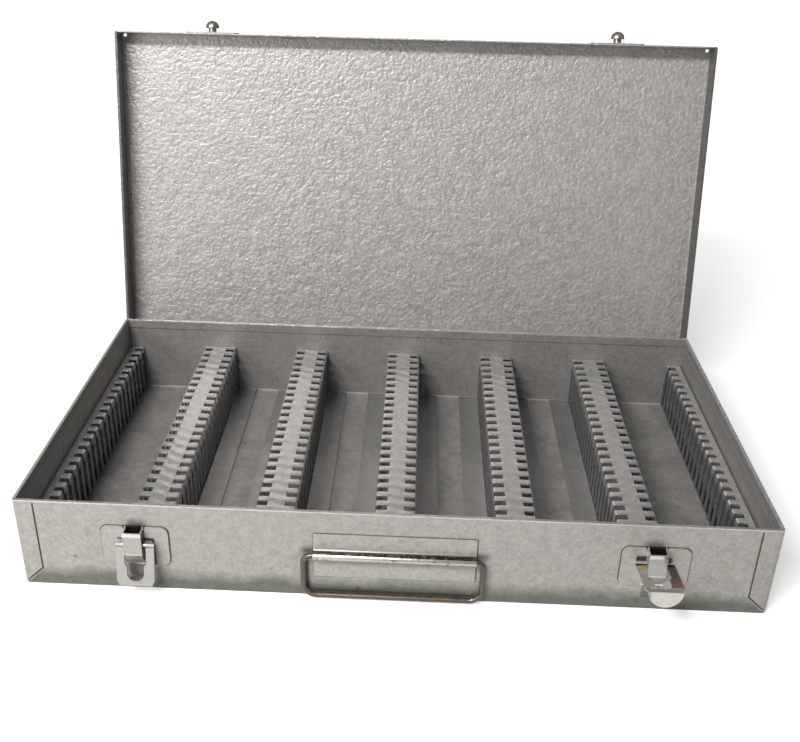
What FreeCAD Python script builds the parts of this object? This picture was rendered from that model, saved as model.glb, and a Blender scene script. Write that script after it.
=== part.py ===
"""Slide storage case: a folded steel tray with slotted dividers, a hinged lid, two snap catches and a bail handle.

Millimetres. X runs along the width, the front is on the -Y side and +Z is up.
The origin is the centre of the tray's underside. The lid stands open, as it rests.
"""
import FreeCAD, Part
import Sketcher
import math
import os

doc = FreeCAD.newDocument("SlideStorageCase")
sheet = doc.addObject("Spreadsheet::Sheet", "Sizes")

SIZES = [
    # tray
    ("case_width", 370.0),
    ("case_depth", 193.0),
    ("case_height", 52.0),
    ("case_sheet", 0.8),
    ("rim_hem", 6.0),
    ("corner_bend", 1.6),
    ("floor_bend", 1.2),
    ("flap_width", 9.7),
    ("flap_mitre", 9.4),
    ("seam_width", 0.7),
    ("seam_depth", 0.5),
    # dividers
    ("lane_count", 6),
    ("divider_top", 32.8),
    ("divider_width", 21.0),
    ("divider_sheet", 0.8),
    ("divider_foot", 9.5),
    ("divider_end_gap", 0.3),
    ("slot_count", 25),
    ("slot_margin", 4.98),
    ("slot_width", 3.8),
    ("slot_reach", 5.6),
    ("slot_foot", 2.4),
    ("side_top", 30.8),
    ("side_width", 8.4),
    ("side_foot", 6.0),
    ("side_reach", 5.0),
    ("side_wall_gap", 1.2),
    # lid, measured from the hinge axis with the lid closed
    ("lid_sheet", 0.8),
    ("lid_depth", 15.4),
    ("lid_hem", 7.0),
    ("lid_gap", 0.3),
    ("lid_edge", 1.1),
    ("lid_lean", 11.5),
    ("lid_bend", 1.3),
    ("relief_radius", 1.0),
    # hinges
    ("hinge_height", 38.4),
    ("hinge_inset", 75.0),
    ("hinge_width", 38.0),
    ("hinge_leaf", 0.9),
    ("hinge_leaf_drop", 15.0),
    ("knuckle_radius", 1.9),
    ("knuckle_middle", 13.0),
    ("knuckle_gap", 0.3),
    ("pin_radius", 0.85),
    ("pin_gap", 0.08),
    # catches
    ("catch_inset", 58.5),
    ("catch_width", 33.0),
    ("catch_above", 8.5),
    ("catch_below", 14.4),
    ("catch_sheet", 0.9),
    ("catch_corner", 3.6),
    ("pivot_height", 30.6),
    ("pivot_out", 3.4),
    ("channel_width", 9.0),
    ("channel_out", 5.4),
    ("channel_above", 7.7),
    ("channel_straight", 5.2),
    ("channel_foot", 14.9),
    ("notch_width", 11.6),
    ("notch_drop", 2.0),
    ("tang_radius", 0.85),
    ("tang_gap", 0.1),
    ("loop_width", 18.6),
    ("loop_sheet", 1.0),
    ("loop_length", 22.0),
    ("loop_mouth", 10.7),
    ("loop_step", 10.4),
    ("loop_slot", 8.3),
    ("loop_slot_end", 19.6),
    ("loop_play", 0.7),
    ("loop_chamfer", 2.8),
    ("tab_radius", 8.2),
    ("left_loop_angle", 12.5),
    ("right_loop_angle", 98.5),
    # studs on the lid
    ("stud_plate_width", 32.0),
    ("stud_plate_height", 12.0),
    ("stud_plate_sheet", 0.7),
    ("stud_plate_corner", 3.0),
    ("stud_neck", 2.4),
    ("stud_neck_length", 2.4),
    ("stud_head", 4.1),
    ("stud_head_edge", 1.7),
    ("stud_crown", 2.2),
    ("stud_head_height", 4.6),
    ("stud_clearance", 1.5),
    # handle
    ("bracket_shift", 0.7),
    ("bracket_width", 79.6),
    ("bracket_above", 12.0),
    ("bracket_below", 13.9),
    ("bracket_sheet", 0.6),
    ("bail_height", 27.1),
    ("bail_out", 2.2),
    ("bail_width", 88.0),
    ("bail_drop", 24.4),
    ("wire_radius", 1.4),
    ("bail_top_bend", 4.0),
    ("bail_low_bend", 6.5),
    ("bail_hidden", 12.0),
    ("bead_clearance", 0.15),
    ("bead_sheet", 0.9),
    ("bead_fillet", 0.9),
]

for row, (alias, size) in enumerate(SIZES, start=1):
    sheet.set("A%d" % row, alias)
    sheet.set("B%d" % row, str(size))
    sheet.setAlias("B%d" % row, alias)
doc.recompute()


def size_of(formula):
    """Value of a formula written with the sheet's aliases."""
    value = sheet.evalExpression(bound(formula))
    return float(getattr(value, "Value", value))


def bound(formula):
    """The same formula with every alias written as a cell of the sheet."""
    words = []
    word = ""
    for letter in formula + " ":
        if letter.isalnum() or letter in "_.":
            word += letter
            continue
        words.append("Sizes." + word if word in ALIASES else word)
        words.append(letter)
        word = ""
    return "".join(words).strip()


ALIASES = {alias for alias, size in SIZES}


def new_body(name):
    body = doc.addObject("PartDesign::Body", name)
    body.Label = name
    return body


def origin_part(body, role):
    return next(part for part in body.Origin.OriginFeatures if part.Role == role)


def new_sketch(body, name, role, offset="0"):
    """A sketch on one of the body's own origin planes, moved along the plane's normal."""
    sketch = body.newObject("Sketcher::SketchObject", name)
    sketch.AttachmentSupport = [(origin_part(body, role), "")]
    sketch.MapMode = "FlatFace"
    sketch.setExpression("AttachmentOffset.Base.z", bound(offset))
    return sketch


def tie(sketch, kind, *where):
    """A constraint whose last entry is a formula."""
    formula = where[-1]
    value = size_of(formula)
    index = sketch.addConstraint(Sketcher.Constraint(kind, *where[:-1], value))
    sketch.setExpression("Constraints[%d]" % index, bound(formula))


def coincident(sketch, first, first_end, second, second_end):
    sketch.addConstraint(Sketcher.Constraint("Coincident", first, first_end, second, second_end))


def arc_between(start, end, corner):
    """The shorter arc between two points about the corner's centre, drawn anticlockwise."""
    centre = FreeCAD.Vector(size_of(corner[3]), size_of(corner[4]), 0)
    first = math.atan2(start.y - centre.y, start.x - centre.x)
    last = math.atan2(end.y - centre.y, end.x - centre.x)
    if (last - first) % (2 * math.pi) > math.pi:
        first, last = last, first
    if last < first:
        last += 2 * math.pi
    return Part.ArcOfCircle(Part.Circle(centre, FreeCAD.Vector(0, 0, 1), size_of(corner[2])), first, last)


def draw_outline(sketch, corners):
    """A closed outline. A corner is (x, y), or (x, y, radius, centre x, centre y) where an arc arrives at it."""
    points = [FreeCAD.Vector(size_of(c[0]), size_of(c[1]), 0) for c in corners]
    first = sketch.GeometryCount
    for index, corner in enumerate(corners):
        start = points[index - 1]
        end = points[index]
        if len(corner) == 2:
            sketch.addGeometry(Part.LineSegment(start, end))
            continue
        sketch.addGeometry(arc_between(start, end, corner))
    for index, corner in enumerate(corners):
        here = first + index
        after = first + (index + 1) % len(corners)
        coincident(sketch, here, end_of(sketch, here, points[index]), after, end_of(sketch, after, points[index]))
    for index, corner in enumerate(corners):
        here = first + index
        near = end_of(sketch, here, points[index])
        tie(sketch, "DistanceX", -1, 1, here, near, corner[0])
        tie(sketch, "DistanceY", -1, 1, here, near, corner[1])
        if len(corner) > 2:
            tie(sketch, "Radius", here, corner[2])


def end_of(sketch, index, point):
    """Which end of a line or arc lies at a point: 1 for its start, 2 for its end."""
    geometry = sketch.Geometry[index]
    at_start = geometry.StartPoint.distanceToPoint(point)
    at_end = geometry.EndPoint.distanceToPoint(point)
    return 1 if at_start < at_end else 2


def draw_box(sketch, left, right, low, high):
    draw_outline(sketch, [(left, low), (right, low), (right, high), (left, high)])


def draw_circle(sketch, x, y, radius):
    centre = FreeCAD.Vector(size_of(x), size_of(y), 0)
    circle = sketch.addGeometry(Part.Circle(centre, FreeCAD.Vector(0, 0, 1), size_of(radius)))
    tie(sketch, "DistanceX", -1, 1, circle, 3, x)
    tie(sketch, "DistanceY", -1, 1, circle, 3, y)
    tie(sketch, "Radius", circle, radius)


def pad(body, sketch, length, both_ways=False, backwards=False):
    feature = body.newObject("PartDesign::Pad", sketch.Name + "_pad")
    feature.Profile = sketch
    feature.setExpression("Length", bound(length))
    feature.Midplane = both_ways
    feature.Reversed = backwards
    sketch.Visibility = False
    doc.recompute()
    return feature


def pocket(body, sketch, length, both_ways=False, backwards=False):
    before = body.Shape.Volume
    feature = body.newObject("PartDesign::Pocket", sketch.Name + "_pocket")
    feature.Profile = sketch
    feature.setExpression("Length", bound(length))
    feature.Midplane = both_ways
    feature.Reversed = backwards
    sketch.Visibility = False
    doc.recompute()
    if body.Shape.Volume >= before - 1e-6:
        raise RuntimeError(body.Label + ": " + sketch.Name + " cuts nothing")
    return feature


def round_edges(body, name, radius, wanted):
    """Fillets the edges of the body's last feature that the test picks."""
    last = body.Tip
    names = ["Edge%d" % (n + 1) for n, edge in enumerate(last.Shape.Edges) if wanted(edge)]
    feature = body.newObject("PartDesign::Fillet", name)
    feature.Base = (last, names)
    feature.setExpression("Radius", bound(radius))
    doc.recompute()
    return feature


def upright(edge, axis):
    """True for a straight edge that runs along one axis: 0, 1 or 2 for X, Y or Z."""
    if not isinstance(edge.Curve, Part.Line):
        return False
    return abs(abs(edge.Curve.Direction[axis]) - 1.0) < 1e-6


def lies_at(edge, axis, formula):
    """True where the whole edge has one coordinate along an axis."""
    value = size_of(formula)
    return all(abs(v.Point[axis] - value) < 1e-4 for v in edge.Vertexes)


def row_of(body, feature, role, length, count):
    pattern = body.newObject("PartDesign::LinearPattern", feature.Name + "_row")
    pattern.Originals = [feature]
    pattern.Direction = (origin_part(body, role), [""])
    pattern.setExpression("Length", bound(length))
    pattern.setExpression("Occurrences", bound(count))
    body.Tip = pattern
    doc.recompute()
    return pattern


def mirror_of(body, feature, role):
    mirror = body.newObject("PartDesign::Mirrored", feature.Name + "_mirror")
    mirror.Originals = [feature]
    mirror.MirrorPlane = (origin_part(body, role), [""])
    body.Tip = mirror
    doc.recompute()
    return mirror


def stand(body, x, y, z, tilt="0"):
    """Places a body by its own origin and turns it about its X axis, in degrees."""
    turn = FreeCAD.Rotation(FreeCAD.Vector(1, 0, 0), size_of(tilt))
    body.Placement = FreeCAD.Placement(FreeCAD.Vector(size_of(x), size_of(y), size_of(z)), turn)


# The tray: one folded sheet, its rim hemmed inwards and its side flaps lapped onto the front and back walls.
tray = new_body("base_tray")
block = new_sketch(tray, "tray_block", "XY_Plane")
draw_box(block, "-case_width / 2", "case_width / 2", "-case_depth / 2", "case_depth / 2")
pad(tray, block, "case_height")
round_edges(tray, "tray_corners", "corner_bend", lambda edge: upright(edge, 2))
round_edges(tray, "tray_floor_bends", "floor_bend", lambda edge: lies_at(edge, 2, "0"))
mouth = new_sketch(tray, "tray_mouth", "XY_Plane", "case_height")
draw_box(mouth, "-case_width / 2 + 2 * case_sheet", "case_width / 2 - 2 * case_sheet",
         "-case_depth / 2 + 2 * case_sheet", "case_depth / 2 - 2 * case_sheet")
pocket(tray, mouth, "rim_hem")
hollow = new_sketch(tray, "tray_hollow", "XY_Plane", "case_height - rim_hem")
draw_box(hollow, "-case_width / 2 + case_sheet", "case_width / 2 - case_sheet",
         "-case_depth / 2 + case_sheet", "case_depth / 2 - case_sheet")
pocket(tray, hollow, "case_height - rim_hem - case_sheet")
seams = new_sketch(tray, "flap_seams", "XZ_Plane", "case_depth / 2")
for side in ("-", ""):
    seam_x = "%s(case_width / 2 - flap_width)" % side
    inner_x = "%s(case_width / 2 - flap_width - seam_width)" % side
    corner_x = "%s(case_width / 2 - corner_bend)" % side
    draw_outline(seams, [
        (seam_x, "case_height - 2 * case_sheet"),
        (seam_x, "floor_bend + flap_mitre"),
        (corner_x, "floor_bend + corner_bend"),
        (corner_x, "floor_bend + corner_bend - seam_width"),
        (inner_x, "floor_bend + flap_mitre - seam_width / 2"),
        (inner_x, "case_height - 2 * case_sheet"),
    ])
front_seams = pocket(tray, seams, "seam_depth")
mirror_of(tray, front_seams, "XZ_Plane")


SLOT_ROW = "(case_depth - 2 * case_sheet - 2 * slot_margin)"


def cut_slots(body, name, spans, foot, top):
    """One row of slots along Y. Each span is (left, right) across the divider."""
    sketch = new_sketch(body, name, "XZ_Plane", SLOT_ROW + " / 2")
    for left, right in spans:
        draw_box(sketch, left, right, foot, top + " + divider_sheet")
    cut = pocket(body, sketch, "slot_width", both_ways=True)
    row_of(body, cut, "Y_Axis", SLOT_ROW, "slot_count")


# Five double dividers: hat sections, slotted down both walls and spot welded to the floor by their feet.
DIVIDER_LENGTH = "case_depth - 2 * case_sheet - 2 * divider_end_gap"
LANE_SPACING = "(case_width - 2 * case_sheet) / lane_count"
dividers = []
for number in range(1, int(size_of("lane_count"))):
    divider = new_body("divider_%d" % number)
    section = new_sketch(divider, "divider_section_%d" % number, "XZ_Plane")
    draw_outline(section, [
        ("-divider_width / 2 - divider_foot", "0"),
        ("-divider_width / 2 - divider_foot", "divider_sheet"),
        ("-divider_width / 2", "divider_sheet"),
        ("-divider_width / 2", "divider_top"),
        ("divider_width / 2", "divider_top"),
        ("divider_width / 2", "divider_sheet"),
        ("divider_width / 2 + divider_foot", "divider_sheet"),
        ("divider_width / 2 + divider_foot", "0"),
        ("divider_width / 2 - divider_sheet", "0"),
        ("divider_width / 2 - divider_sheet", "divider_top - divider_sheet"),
        ("-divider_width / 2 + divider_sheet", "divider_top - divider_sheet"),
        ("-divider_width / 2 + divider_sheet", "0"),
    ])
    pad(divider, section, DIVIDER_LENGTH, both_ways=True)
    cut_slots(divider, "divider_slots_%d" % number, [
        ("divider_width / 2 - slot_reach", "divider_width / 2 + divider_sheet"),
        ("-divider_width / 2 - divider_sheet", "-divider_width / 2 + slot_reach"),
    ], "slot_foot", "divider_top")
    stand(divider, "(%d - lane_count / 2) * %s" % (number, LANE_SPACING), "0", "case_sheet")
    dividers.append(divider)

# Two single dividers along the side walls, one slotted wall each, their feet turned under the top.
for name, sign in (("side_divider_left", ""), ("side_divider_right", "-")):
    side = new_body(name)
    section = new_sketch(side, name + "_section", "XZ_Plane")
    draw_outline(section, [
        (sign + "side_wall_gap", "side_top - divider_sheet"),
        (sign + "side_wall_gap", "side_top"),
        (sign + "(side_wall_gap + side_width)", "side_top"),
        (sign + "(side_wall_gap + side_width)", "0"),
        (sign + "(side_wall_gap + side_width - side_foot)", "0"),
        (sign + "(side_wall_gap + side_width - side_foot)", "divider_sheet"),
        (sign + "(side_wall_gap + side_width - divider_sheet)", "divider_sheet"),
        (sign + "(side_wall_gap + side_width - divider_sheet)", "side_top - divider_sheet"),
    ])
    pad(side, section, DIVIDER_LENGTH, both_ways=True)
    cut_slots(side, name + "_slots", [
        (sign + "(side_wall_gap + side_width - side_reach)",
         sign + "(side_wall_gap + side_width + divider_sheet)"),
    ], "slot_foot", "side_top")
    wall = "case_width / 2 - case_sheet"
    stand(side, "-(%s)" % wall if sign == "" else wall, "0", "case_sheet")

# The handle bracket: a thin plate welded to the front wall, with a rolled bead that holds the bail's ends.
bracket = new_body("handle_bracket")
plate = new_sketch(bracket, "bracket_plate", "XZ_Plane")
draw_box(plate, "-bracket_width / 2", "bracket_width / 2", "-bracket_below", "bracket_above")
pad(bracket, plate, "bracket_sheet")
BEAD_HOLE = "(wire_radius + bead_clearance)"
BEAD_ROUND = "(wire_radius + bead_clearance + bead_sheet)"
bead = new_sketch(bracket, "bracket_bead", "YZ_Plane")
draw_outline(bead, [
    ("0", BEAD_ROUND),
    ("0", "-" + BEAD_ROUND),
    ("-bail_out", "-" + BEAD_ROUND),
    ("-bail_out - " + BEAD_ROUND, "0", BEAD_ROUND, "-bail_out", "0"),
    ("-bail_out", BEAD_ROUND, BEAD_ROUND, "-bail_out", "0"),
])
pad(bracket, bead, "bracket_width", both_ways=True)
round_edges(bracket, "bead_feet", "bead_fillet",
            lambda edge: upright(edge, 0) and lies_at(edge, 1, "-bracket_sheet")
            and abs(abs(edge.Vertexes[0].Z) - size_of(BEAD_ROUND)) < 1e-4)
tunnel = new_sketch(bracket, "bracket_tunnel", "YZ_Plane")
draw_outline(tunnel, [
    ("bracket_sheet", BEAD_HOLE),
    ("bracket_sheet", "-" + BEAD_HOLE),
    ("-bail_out", "-" + BEAD_HOLE),
    ("-bail_out - " + BEAD_HOLE, "0", BEAD_HOLE, "-bail_out", "0"),
    ("-bail_out", BEAD_HOLE, BEAD_HOLE, "-bail_out", "0"),
])
pocket(bracket, tunnel, "2 * bracket_width", both_ways=True)
stand(bracket, "bracket_shift", "-case_depth / 2", "bail_height")

# The bail: one bent wire, its ends turned into the bead from both sides.
bail = new_body("handle_bail")
route = new_sketch(bail, "bail_route", "XZ_Plane")
HALF = "bail_width / 2"
HIDDEN = "(bracket_width / 2 - bail_hidden)"
stops = [
    ("-" + HIDDEN, "0"),
    ("-(%s - bail_top_bend)" % HALF, "0"),
    ("-" + HALF, "-bail_top_bend", "bail_top_bend", "-(%s - bail_top_bend)" % HALF, "-bail_top_bend"),
    ("-" + HALF, "-(bail_drop - bail_low_bend)"),
    ("-(%s - bail_low_bend)" % HALF, "-bail_drop",
     "bail_low_bend", "-(%s - bail_low_bend)" % HALF, "-(bail_drop - bail_low_bend)"),
    ("%s - bail_low_bend" % HALF, "-bail_drop"),
    (HALF, "-(bail_drop - bail_low_bend)",
     "bail_low_bend", "%s - bail_low_bend" % HALF, "-(bail_drop - bail_low_bend)"),
    (HALF, "-bail_top_bend"),
    ("%s - bail_top_bend" % HALF, "0", "bail_top_bend", "%s - bail_top_bend" % HALF, "-bail_top_bend"),
    (HIDDEN, "0"),
]
places = [FreeCAD.Vector(size_of(s[0]), size_of(s[1]), 0) for s in stops]
for index in range(1, len(stops)):
    if len(stops[index]) == 2:
        route.addGeometry(Part.LineSegment(places[index - 1], places[index]))
    else:
        route.addGeometry(arc_between(places[index - 1], places[index], stops[index]))
tie(route, "DistanceX", -1, 1, 0, 1, stops[0][0])
tie(route, "DistanceY", -1, 1, 0, 1, stops[0][1])
for index in range(1, len(stops)):
    here = index - 1
    near = end_of(route, here, places[index])
    if index < len(stops) - 1:
        coincident(route, here, near, index, end_of(route, index, places[index]))
    tie(route, "DistanceX", -1, 1, here, near, stops[index][0])
    tie(route, "DistanceY", -1, 1, here, near, stops[index][1])
    if len(stops[index]) > 2:
        tie(route, "Radius", here, stops[index][2])
wire = new_sketch(bail, "bail_wire", "YZ_Plane", "-" + HIDDEN)
draw_circle(wire, "0", "0", "wire_radius")
pipe = bail.newObject("PartDesign::AdditivePipe", "bail_pipe")
pipe.Profile = wire
pipe.Spine = (route, ["Edge%d" % (n + 1) for n in range(len(stops) - 1)])
doc.recompute()
stand(bail, "0", "-case_depth / 2 - bail_out", "bail_height")

# The catches: a stamped plate whose middle is drawn out into a channel, and a flat loop that swings in it.
CHANNEL_FALL = "(channel_foot - channel_straight)"
SLOPE = "sqrt(channel_out * channel_out + %s * %s)" % (CHANNEL_FALL, CHANNEL_FALL)


def make_catch_plate(name, x):
    catch = new_body(name)
    flat = new_sketch(catch, name + "_flat", "XZ_Plane")
    draw_box(flat, "-catch_width / 2", "catch_width / 2", "-catch_below", "catch_above")
    pad(catch, flat, "catch_sheet")
    round_edges(catch, name + "_corners", "catch_corner", lambda edge: upright(edge, 1))
    side = new_sketch(catch, name + "_channel", "YZ_Plane")
    draw_outline(side, [
        ("0", "channel_above"),
        ("-channel_out", "channel_above"),
        ("-channel_out", "-channel_straight"),
        ("0", "-channel_foot"),
    ])
    pad(catch, side, "channel_width", both_ways=True)
    inside = new_sketch(catch, name + "_channel_inside", "YZ_Plane")
    draw_outline(inside, [
        ("0", "catch_above + catch_sheet"),
        ("-channel_out + catch_sheet", "catch_above + catch_sheet"),
        ("-channel_out + catch_sheet",
         "-channel_straight + catch_sheet * (%s - %s) / channel_out" % (SLOPE, CHANNEL_FALL)),
        ("0", "-channel_foot + catch_sheet * %s / channel_out" % SLOPE),
    ])
    pocket(catch, inside, "channel_width - 2 * catch_sheet", both_ways=True)
    notch = new_sketch(catch, name + "_notch", "XZ_Plane")
    for side_sign in ("-", ""):
        draw_outline(notch, [
            (side_sign + "channel_width / 2", "catch_above - notch_drop"),
            (side_sign + "channel_width / 2", "catch_above + catch_sheet"),
            (side_sign + "notch_width / 2", "catch_above + catch_sheet"),
            (side_sign + "notch_width / 2", "catch_above"),
        ])
    pocket(catch, notch, "catch_sheet", backwards=True)
    bore = new_sketch(catch, name + "_bore", "YZ_Plane")
    draw_circle(bore, "-pivot_out", "0", "tang_radius + tang_gap")
    pocket(catch, bore, "2 * channel_width", both_ways=True)
    stand(catch, x, "-case_depth / 2", "pivot_height")


def make_catch_loop(name, x, angle):
    loop = new_body(name)
    frame = new_sketch(loop, name + "_frame", "XZ_Plane")
    tip = "-loop_slot_end + loop_slot / 2"
    draw_outline(frame, [
        ("-loop_width / 2", "tang_radius"),
        ("-loop_width / 2", "-loop_length + loop_chamfer"),
        ("-loop_width / 2 + loop_chamfer / 2", "-loop_length"),
        ("loop_width / 2 - loop_chamfer / 2", "-loop_length"),
        ("loop_width / 2", "-loop_length + loop_chamfer"),
        ("loop_width / 2", "tang_radius"),
        ("loop_mouth / 2", "tang_radius"),
        ("loop_mouth / 2", "-loop_step"),
        ("loop_slot / 2", "-loop_step - (loop_mouth - loop_slot) / 2"),
        ("loop_slot / 2", tip),
        ("0", "-loop_slot_end", "loop_slot / 2", "0", tip),
        ("-loop_slot / 2", tip, "loop_slot / 2", "0", tip),
        ("-loop_slot / 2", "-loop_step - (loop_mouth - loop_slot) / 2"),
        ("-loop_mouth / 2", "-loop_step"),
        ("-loop_mouth / 2", "tang_radius"),
    ])
    pad(loop, frame, "loop_sheet", both_ways=True)
    tab = new_sketch(loop, name + "_tab", "XY_Plane", "-loop_length")
    draw_outline(tab, [
        ("-tab_radius", "-loop_sheet / 2"),
        ("tab_radius", "-loop_sheet / 2"),
        ("0", "tab_radius - loop_sheet / 2", "tab_radius", "0", "-loop_sheet / 2"),
        ("-tab_radius", "-loop_sheet / 2", "tab_radius", "0", "-loop_sheet / 2"),
    ][1:])
    pad(loop, tab, "loop_sheet")
    for side_name, sign in (("left", "-"), ("right", "")):
        tang = new_sketch(loop, "%s_tang_%s" % (name, side_name), "YZ_Plane",
                          sign + "(channel_width / 2 - catch_sheet - tang_gap - loop_play)")
        draw_circle(tang, "0", "0", "tang_radius")
        pad(loop, tang, "(loop_mouth - channel_width) / 2 + 2 * catch_sheet + loop_play", backwards=sign == "-")
    stand(loop, x, "-case_depth / 2 - pivot_out", "pivot_height", "-" + angle)


CATCH_X = "(case_width / 2 - catch_inset)"
make_catch_plate("catch_plate_left", "-" + CATCH_X)
make_catch_plate("catch_plate_right", CATCH_X)
make_catch_loop("catch_loop_left", "-" + CATCH_X + " + loop_play", "left_loop_angle")
make_catch_loop("catch_loop_right", CATCH_X + " - loop_play", "right_loop_angle")

# The hinge axis and everything that swings on it. These bodies are drawn closed about the axis, then turned open.
LID_SIDE = "(case_width / 2 + lid_gap + 2 * lid_sheet)"
LID_FRONT = "(case_depth / 2 + lid_gap + lid_sheet)"
AXIS_Y = "(%s + knuckle_radius)" % LID_FRONT
FRONT_Y = "(-%s - %s)" % (LID_FRONT, AXIS_Y)
REAR_Y = "(-knuckle_radius)"
OPEN_TILT = "-90 - lid_lean"


def stand_lid_piece(body, x="0"):
    stand(body, x, AXIS_Y, "hinge_height", OPEN_TILT)


# The lid: one folded pan, the free edges of its side walls hemmed inwards.
lid = new_body("lid_pan")
lid_block = new_sketch(lid, "lid_block", "XY_Plane", "lid_edge")
draw_box(lid_block, "-" + LID_SIDE, LID_SIDE, FRONT_Y, REAR_Y)
pad(lid, lid_block, "lid_depth")
round_edges(lid, "lid_corners", "lid_bend", lambda edge: upright(edge, 2))
round_edges(lid, "lid_top_bends", "lid_bend", lambda edge: lies_at(edge, 2, "lid_edge + lid_depth"))
lid_mouth = new_sketch(lid, "lid_mouth", "XY_Plane", "lid_edge")
draw_box(lid_mouth, "-(%s - 2 * lid_sheet)" % LID_SIDE, "%s - 2 * lid_sheet" % LID_SIDE,
         FRONT_Y + " + lid_sheet", REAR_Y + " - lid_sheet")
pocket(lid, lid_mouth, "lid_hem", backwards=True)
lid_hollow = new_sketch(lid, "lid_hollow", "XY_Plane", "lid_edge + lid_hem")
draw_box(lid_hollow, "-(%s - lid_sheet)" % LID_SIDE, "%s - lid_sheet" % LID_SIDE,
         FRONT_Y + " + lid_sheet", REAR_Y + " - lid_sheet")
pocket(lid, lid_hollow, "lid_depth - lid_hem - lid_sheet", backwards=True)
reliefs = new_sketch(lid, "lid_reliefs", "XY_Plane", "lid_edge + lid_depth - lid_sheet")
for relief_x in ("-(%s - lid_sheet - 1.5 * relief_radius)" % LID_SIDE,
                 "%s - lid_sheet - 1.5 * relief_radius" % LID_SIDE):
    for relief_y in (FRONT_Y + " + lid_sheet + 1.5 * relief_radius", REAR_Y + " - lid_sheet - 1.5 * relief_radius"):
        draw_circle(reliefs, relief_x, relief_y, "relief_radius")
pocket(lid, reliefs, "2 * lid_sheet", backwards=True)
stand_lid_piece(lid)

# The studs: turned heads on small plates on the lid's front wall, where the loops reach them.
STUD_Z = ("(pivot_height - hinge_height + loop_slot_end - stud_neck - stud_clearance)")
for side_name, sign in (("left", "-"), ("right", "")):
    stud_plate = new_body("stud_plate_" + side_name)
    outline = new_sketch(stud_plate, "stud_plate_outline_" + side_name, "XZ_Plane", "-" + FRONT_Y)
    draw_box(outline, "-stud_plate_width / 2", "stud_plate_width / 2",
             STUD_Z + " - stud_plate_height / 2", STUD_Z + " + stud_plate_height / 2")
    pad(stud_plate, outline, "stud_plate_sheet")
    round_edges(stud_plate, "stud_plate_corners_" + side_name, "stud_plate_corner", lambda edge: upright(edge, 1))
    stand_lid_piece(stud_plate, sign + CATCH_X)

    stud = new_body("lid_stud_" + side_name)
    turned = new_sketch(stud, "stud_profile_" + side_name, "XY_Plane", STUD_Z)
    face = "%s - stud_plate_sheet" % FRONT_Y
    under = "%s - stud_plate_sheet - stud_neck_length" % FRONT_Y
    draw_outline(turned, [
        ("0", face),
        ("stud_neck", face),
        ("stud_neck", under),
        ("stud_head", under),
        ("stud_head", under + " - stud_head_edge"),
        ("stud_crown", under + " - stud_head_height"),
        ("0", under + " - stud_head_height"),
    ])
    head = stud.newObject("PartDesign::Revolution", "stud_head_turned_" + side_name)
    head.Profile = turned
    head.ReferenceAxis = (turned, ["V_Axis"])
    head.Angle = 360
    doc.recompute()
    stand_lid_piece(stud, sign + CATCH_X)

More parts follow.
